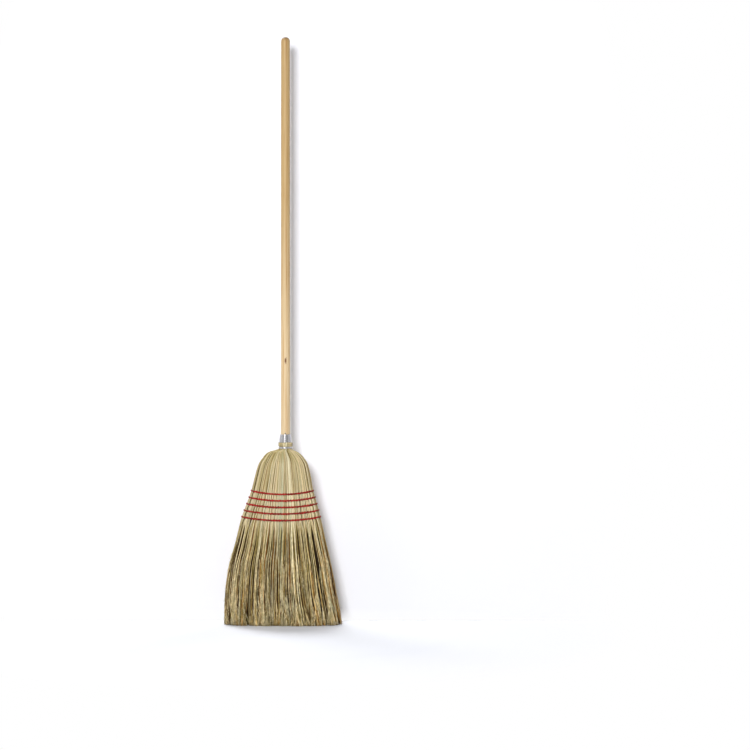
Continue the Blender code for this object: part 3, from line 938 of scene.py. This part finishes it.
def make_handle():
    """A dowel with a rounded top, a little thinner there."""
    end_radius = handle_radius * end_share
    base = handle_high.z - end_radius
    turn = np.linspace(0, quarter_turn, end_levels)[1:-1]
    body_heights = np.linspace(handle_low.z, base, handle_levels)
    body_radii = (handle_radius, handle_radius, end_radius)
    taper = np.interp(body_heights, (handle_low.z, cone_top, base), body_radii)
    heights = np.concatenate((body_heights, base + end_radius * np.sin(turn)))
    radii = np.concatenate((taper, end_radius * np.cos(turn)))[None]
    path = np.stack((np.full(len(heights), handle_x), 0 * heights, heights), -1)[None]
    out = np.tile((0.0, -1.0, 0.0), (1, len(heights), 1))
    return [tubes(path, radii, radii, out, looks_of(np.ones(radii.shape)), handle_sides)]


# Shader nodes

materials = {}
mix_factor, mix_first, mix_second, mix_result = 0, 6, 7, 2


def linear(colour):
    """A colour as it looks on screen, from 0 to 255, as shader values."""
    shares = [channel / 255 for channel in colour]
    values = [share / 12.92 if share <= 0.04045 else ((share + 0.055) / 1.055) ** 2.4 for share in shares]
    return (*values, 1.0)


def new_material(name):
    """The tree and shader of a new material, which is kept by name."""
    material = bpy.data.materials.new(name)
    material.use_nodes = True
    materials[name] = material
    return material.node_tree, material.node_tree.nodes["Principled BSDF"]


def new_node(tree, kind, inputs, **settings):
    """A node with its settings, and each input set to a value or linked to another node's output."""
    node = tree.nodes.new("ShaderNode" + kind)
    for name, value in settings.items():
        setattr(node, name, value)
    for name, value in inputs.items():
        if isinstance(value, bpy.types.NodeSocket):
            tree.links.new(value, node.inputs[name])
        else:
            node.inputs[name].default_value = value
    return node


def object_place(tree):
    return new_node(tree, "TexCoord", {}).outputs["Object"]


def object_height(tree):
    return new_node(tree, "SeparateXYZ", {"Vector": object_place(tree)}).outputs["Z"]


def noise(tree, scale, detail):
    """Noise in object coordinates with its own scale on each axis."""
    spot = new_node(tree, "Mapping", {"Vector": object_place(tree), "Scale": scale})
    inputs = {"Vector": spot.outputs["Vector"], "Scale": 1, "Detail": detail}
    return new_node(tree, "TexNoise", inputs).outputs["Fac"]


def distance(tree, middle, stretch):
    """Distance from a place in object coordinates, each axis of it divided by its stretch."""
    inputs = {"Vector": object_place(tree), "Location": middle, "Scale": stretch}
    away = new_node(tree, "Mapping", inputs, vector_type="TEXTURE").outputs["Vector"]
    return new_node(tree, "VectorMath", {0: away}, operation="LENGTH").outputs["Value"]


def ranged(value, low, high, from_low=0.25, from_high=0.75):
    """A value brought from one range, by default the middle of noise, to another."""
    inputs = {"Value": value, "From Min": from_low, "From Max": from_high, "To Min": low, "To Max": high}
    return new_node(value.id_data, "MapRange", inputs).outputs["Result"]


def combined(operation, first, *others):
    """The first value joined with each of the others in turn."""
    for other in others:
        node = new_node(first.id_data, "Math", {0: first, 1: other}, operation=operation)
        first = node.outputs["Value"]
    return first


def scaled(colour, factor):
    inputs = {0: colour, "Scale": factor}
    return new_node(colour.id_data, "VectorMath", inputs, operation="SCALE").outputs["Vector"]


def blended(factor, first, second, blend_type="MIX"):
    """A blend of two colours, each a node's output or a colour on screen."""
    inputs = {mix_factor: factor}
    for name, colour in ((mix_first, first), (mix_second, second)):
        inputs[name] = linear(colour) if isinstance(colour, tuple) else colour
    mix = new_node(factor.id_data, "Mix", inputs, data_type="RGBA", blend_type=blend_type)
    return mix.outputs[mix_result]


def colour_ramp(value, colours):
    """A ramp with a straw colour at each of the hues' places."""
    step = new_node(value.id_data, "ValToRGB", {"Fac": value})
    elements = step.color_ramp.elements
    while len(elements) < len(colours):
        elements.new(0.5)
    for element, place, colour in zip(elements, hue_places, colours):
        element.position = place
        element.color = linear(colour)
    return step.outputs["Color"]


def read_looks(tree):
    """Half the tone, the hue and the share of the skirt's colours, from the looks attribute."""
    looks = new_node(tree, "Attribute", {}, attribute_name="looks")
    parts = new_node(tree, "SeparateColor", {"Color": looks.outputs["Color"]})
    return parts.outputs["Red"], parts.outputs["Green"], looks.outputs["Alpha"]


def dress(tree, shader, colour, roughness, relief, depth, strength):
    """Give a shader its colour, its roughness and a fine relief."""
    bump = new_node(tree, "Bump", {"Height": relief, "Distance": depth, "Strength": strength})
    tree.links.new(colour, shader.inputs["Base Color"])
    tree.links.new(roughness, shader.inputs["Roughness"])
    tree.links.new(bump.outputs["Normal"], shader.inputs["Normal"])


# Materials

# Colours of straw on screen, from green through pale and pink to brown straws, and their places
hue_places = (0.00, 0.20, 0.45, 0.68, 0.85, 1.00)
dome_colours = (
    (196, 197, 162), (219, 209, 176), (214, 200, 162), (211, 192, 147), (210, 185, 146), (172, 138, 92),
)
skirt_colours = (
    (183, 182, 144), (213, 202, 166), (204, 189, 149), (197, 177, 123), (180, 139, 70), (150, 101, 30),
)
# Painted shade: a warm tint over the darkest straws, full at the first half tone of the range and gone at
# the second
painted_shade_tint = (250, 240, 152)
painted_shade_range = (0.18, 0.50)
fleck_change = 0.35
gloss = 0.35

# Colours of the handle on screen, the knot's place, size and stretch, and the reach of the worn end
wood_low, wood_high = (224, 199, 158), (189, 158, 107)
wood_fade_heights = (0.62, 1.02)
grain_tint = (226, 204, 176)
knot_colour = (110, 64, 24)
knot_place = (handle_x + 0.0007, -handle_radius, 0.6262)
knot_stretch = (1, 1 / 0.40, 1 / 0.36)
knot_range = (0.0012, 0.0034)
worn_colour = (150, 118, 84)
worn_heights = (handle_high.z - 0.013, handle_high.z - 0.003)
end_colour = (84, 56, 36)
end_heights = (handle_high.z - 0.0060, handle_high.z - 0.0025)

twine_low, twine_high = (138, 14, 13), (200, 34, 30)


def straw_material(name, painted_light_level):
    """Dried stalks: each in its own tone, with fine lengthwise streaks and ridges, dimmed as a whole by a
    level of painted shade, with a warm painted-shade tint where darkest.
    """
    tree, shader = new_material(name)
    half_tone, hue, skirt_share = read_looks(tree)
    fine = noise(tree, (2400, 2400, 60), 3)
    broad = noise(tree, (260, 260, 14), 2)
    flecks = noise(tree, (290, 290, 115), 3)
    dome = colour_ramp(hue, dome_colours)
    skirt = colour_ramp(hue, skirt_colours)
    # Painted shade: the darkest straws take a warm brown tint
    shade_tint_share = ranged(half_tone, 1, 0, *painted_shade_range)
    colour = blended(skirt_share, dome, skirt)
    colour = blended(shade_tint_share, colour, painted_shade_tint, "MULTIPLY")
    fleck_tone = ranged(flecks, -fleck_change, fleck_change, 0.3, 0.7)
    fleck_tone = combined("ADD", combined("MULTIPLY", fleck_tone, skirt_share), 1)
    streaks = ranged(fine, 0.78, 1.16)
    patches = ranged(broad, 0.90, 1.08)
    factor = combined("MULTIPLY", half_tone, 2 * painted_light_level, streaks, patches, fleck_tone)
    shader.inputs["Specular IOR Level"].default_value = gloss
    dress(tree, shader, scaled(colour, factor), ranged(fine, 0.48, 0.72), fine, 0.00012, 0.6)


def wood_material():
    """Pale waxed wood with long grain, a small knot, and a darker handled top."""
    tree, shader = new_material("handle_wood")
    grain = noise(tree, (330, 330, 5), 4)
    pores = noise(tree, (1900, 1900, 34), 3)
    cloud = noise(tree, (40, 40, 3.2), 2)
    wobble = noise(tree, (700, 700, 500), 2)
    height = object_height(tree)
    colour = blended(ranged(height, 0, 1, *wood_fade_heights), wood_low, wood_high)
    colour = blended(ranged(grain, 0, 1, 0.48, 0.72), colour, grain_tint, "MULTIPLY")
    colour = scaled(colour, ranged(pores, 0.90, 1.06))
    colour = scaled(colour, ranged(cloud, 0.95, 1.04))
    knot = distance(tree, knot_place, knot_stretch)
    knot = combined("MULTIPLY", knot, ranged(wobble, 0.6, 1.5))
    colour = blended(ranged(knot, 1, 0, *knot_range), colour, knot_colour)
    colour = blended(ranged(height, 0, 0.48, *worn_heights), colour, worn_colour)
    colour = blended(ranged(height, 0, 0.8, *end_heights), colour, end_colour)
    shader.inputs["Specular IOR Level"].default_value = gloss
    dress(tree, shader, colour, ranged(grain, 0.44, 0.56), pores, 0.0001, 0.35)


def metal_material(name, colour, worn, roughness):
    """Drawn metal with faint dull patches."""
    tree, shader = new_material(name)
    patches = noise(tree, (600, 600, 900), 3)
    colour = blended(ranged(patches, 0, 1), worn, colour)
    shader.inputs["Metallic"].default_value = 1.0
    dress(tree, shader, colour, ranged(patches, roughness + 0.14, roughness), patches, 0.00003, 0.5)


def twine_material():
    """Waxed dark red twine with fine fibres."""
    tree, shader = new_material("twine")
    half_tone, _, _ = read_looks(tree)
    fibres = noise(tree, (2600, 2600, 2600), 2)
    colour = blended(ranged(fibres, 0, 1), twine_low, twine_high)
    colour = scaled(colour, combined("MULTIPLY", half_tone, 2))
    dress(tree, shader, colour, ranged(fibres, 0.42, 0.62), fibres, 0.0001, 0.5)


# Stage

wall_place = 0.066
stage_reach = 4.0
shadow_reach = (0.42, 0.80)
foot_reach = 0.030
foot_fade = 0.90
floor_paper = (229, 231, 237)
wall_paper = (240, 241, 248)
unseen_paper = (160, 160, 160)
wall_glow = 0.07
floor_shadow_middle = (0, -0.15, 0)
wall_shadow_middle = (0.05, wall_place, 0.7)
wall_shadow_stretch = (1, 1, 2.2)
room_light = 0.15


def mixed(tree, factor, first, second):
    return new_node(tree, "MixShader", {"Fac": factor, 1: first, 2: second}).outputs["Shader"]


def paper_material(name, colour, glow, standing, middle, stretch):
    """Paper seen from its front only, with shadows near a middle and pure white further off."""
    tree, shader = new_material(name)
    tree.nodes.remove(shader)
    rays = new_node(tree, "LightPath", {}).outputs
    seen = combined("MAXIMUM", rays["Is Camera Ray"], rays["Is Glossy Ray"])
    back = new_node(tree, "NewGeometry", {}).outputs["Backfacing"]
    front = ranged(back, 1, 0, 0, 1)
    far = ranged(distance(tree, middle, stretch), 0, 1, *shadow_reach)
    if standing:
        front = combined("MULTIPLY", front, seen)
        far = combined("MAXIMUM", far, ranged(object_height(tree), foot_fade, 0, 0, foot_reach))
    paper = new_node(tree, "BsdfDiffuse", {"Color": blended(seen, unseen_paper, colour)})
    shine = new_node(tree, "Emission", {"Strength": combined("MULTIPLY", seen, glow)})
    both = new_node(tree, "AddShader", {0: paper.outputs["BSDF"], 1: shine.outputs["Emission"]})
    white = new_node(tree, "Emission", {}).outputs["Emission"]
    clear = new_node(tree, "BsdfTransparent", {}).outputs["BSDF"]
    sheet = mixed(tree, combined("MULTIPLY", far, seen), both.outputs["Shader"], white)
    tree.links.new(mixed(tree, front, clear, sheet), tree.nodes["Material Output"].inputs["Surface"])


def make_sheet(name, corners, *paper):
    """A flat sheet of the stage, and its paper."""
    paper_material(name, *paper)
    mesh = bpy.data.meshes.new(name)
    mesh.from_pydata(corners, [], [tuple(range(4))])
    item = new_item(name, mesh)
    mesh.materials.append(materials[name])


def make_stage():
    """A pale floor and a backdrop close behind the broom."""
    left, right = -stage_reach, stage_reach
    floor = ((left, left, 0), (right, left, 0), (right, right, 0), (left, right, 0))
    wall = ((left, wall_place, 0), (right, wall_place, 0),
            (right, wall_place, stage_reach), (left, wall_place, stage_reach))
    make_sheet("floor", floor, floor_paper, 0.0, False, floor_shadow_middle, (1, 1, 1))
    make_sheet("backdrop", wall, wall_paper, wall_glow, True, wall_shadow_middle, wall_shadow_stretch)


def make_world():
    """An even pale surround, white to the camera."""
    world = bpy.data.worlds.new("surround")
    bpy.context.scene.world = world
    world.use_nodes = True
    tree = world.node_tree
    shade = tree.nodes["Background"]
    rays = new_node(tree, "LightPath", {})
    strength = ranged(rays.outputs["Is Camera Ray"], room_light, 1, 0, 1)
    tree.links.new(strength, shade.inputs["Strength"])
    shade.inputs["Color"].default_value = (1, 1, 1, 1)


# Lights as a place, a width and height, and a power in watts, all turned towards one point
light_target = (0, 0, 0.55)
lights = {
    "key": ((-0.85, -4.2, 2.0), (1.4, 1.4), 178),
    "left_box": ((-3.2, -1.0, 0.8), (1.2, 2.2), 26),
    "right_box": ((3.2, -1.4, 0.8), (1.2, 2.2), 24),
    "back_left": ((-1.9, 2.8, 1.8), (1.6, 1.6), 44),
    "back_right": ((1.9, 2.8, 1.8), (1.6, 1.6), 44),
    "top": ((-0.45, 1.2, 3.2), (0.9, 0.9), 68),
}


def make_lights():
    for name, (place, size, power) in lights.items():
        data = bpy.data.lights.new(name, "AREA")
        data.shape = "RECTANGLE"
        data.size, data.size_y = size
        data.energy = power
        item = new_item(name, data)
        item.location = place
        towards = Vector(light_target) - Vector(place)
        item.rotation_euler = towards.to_track_quat("-Z", "Y").to_euler()


# Camera, set by the photograph's frame, with its sensor in millimetres
photo_pixels = 750
pixel_size = 0.00238
handle_pixel = 285.5
floor_pixel = 624
camera_distance = 4.5
sensor_width = 36


def make_camera():
    data = bpy.data.cameras.new("camera")
    data.sensor_width = sensor_width
    data.lens = sensor_width * camera_distance / (photo_pixels * pixel_size)
    item = new_item("camera", data)
    across = (photo_pixels / 2 - handle_pixel) * pixel_size
    height = (floor_pixel - photo_pixels / 2) * pixel_size
    item.location = (handle_x + across, -camera_distance, height)
    item.rotation_euler = (quarter_turn, 0, 0)
    bpy.context.scene.camera = item


# Pieces

def piece(name, mesh, slot, *nodes):
    """A piece in its slot's material that rides on the body and stands for CAD nodes."""
    item = new_item(name, mesh)
    mesh.materials.append(materials[slot])
    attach(item, "root")
    if nodes:
        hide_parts(*nodes)


def tube_piece(name, batches, slot, *nodes):
    piece(name, tube_mesh(name, batches), slot, *nodes)


def make_materials():
    # One straw three times over with painted shade: a little darker on the shoulders and darker inside the
    # skirt
    straw_material("cover_straw", 1.0)
    straw_material("shoulder_straw", 0.92)
    straw_material("inside_straw", 0.80)
    metal_material("wire", (224, 223, 224), (176, 176, 180), 0.28)
    metal_material("nail", (140, 138, 134), (84, 80, 76), 0.35)
    twine_material()
    wood_material()


def make_broom():
    """All pieces of the broom, and the materials of the CAD nodes that stay."""
    surface = make_surface_straw()
    for kind, side in (("cover", "front"), ("cover", "back"), ("shoulder", "left"), ("shoulder", "right")):
        slot = f"{kind}_straw"
        tube_piece(f"{slot}s_{side}", surface[side], slot, f"{slot}_{side}")
    tube_piece("inside_straws", make_inside_straw(), "inside_straw", "core_straw")
    piece("inside_bundle", make_inside_bundle(), "inside_straw")
    tube_piece("fine_branches", make_fine_branches(), "cover_straw")
    tube_piece("neck_winding", make_winding(), "wire", "neck_wire")
    tube_piece("handle_dowel", make_handle(), "handle_wood", "handle")
    for number, height in enumerate(row_heights, 1):
        twines = [*make_belt(height), *make_stitches(height)]
        tube_piece(f"sewn_row_{number}", twines, "twine", f"stitch_row_{number}")
    for node, slot in (("core_binding", "wire"), ("wire_nail", "nail")):
        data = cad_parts[node].data
        data.materials.clear()
        data.materials.append(materials[slot])


make_materials()
make_broom()
make_stage()
make_world()
make_lights()
make_camera()
bpy.context.scene.view_settings.view_transform = "Standard"
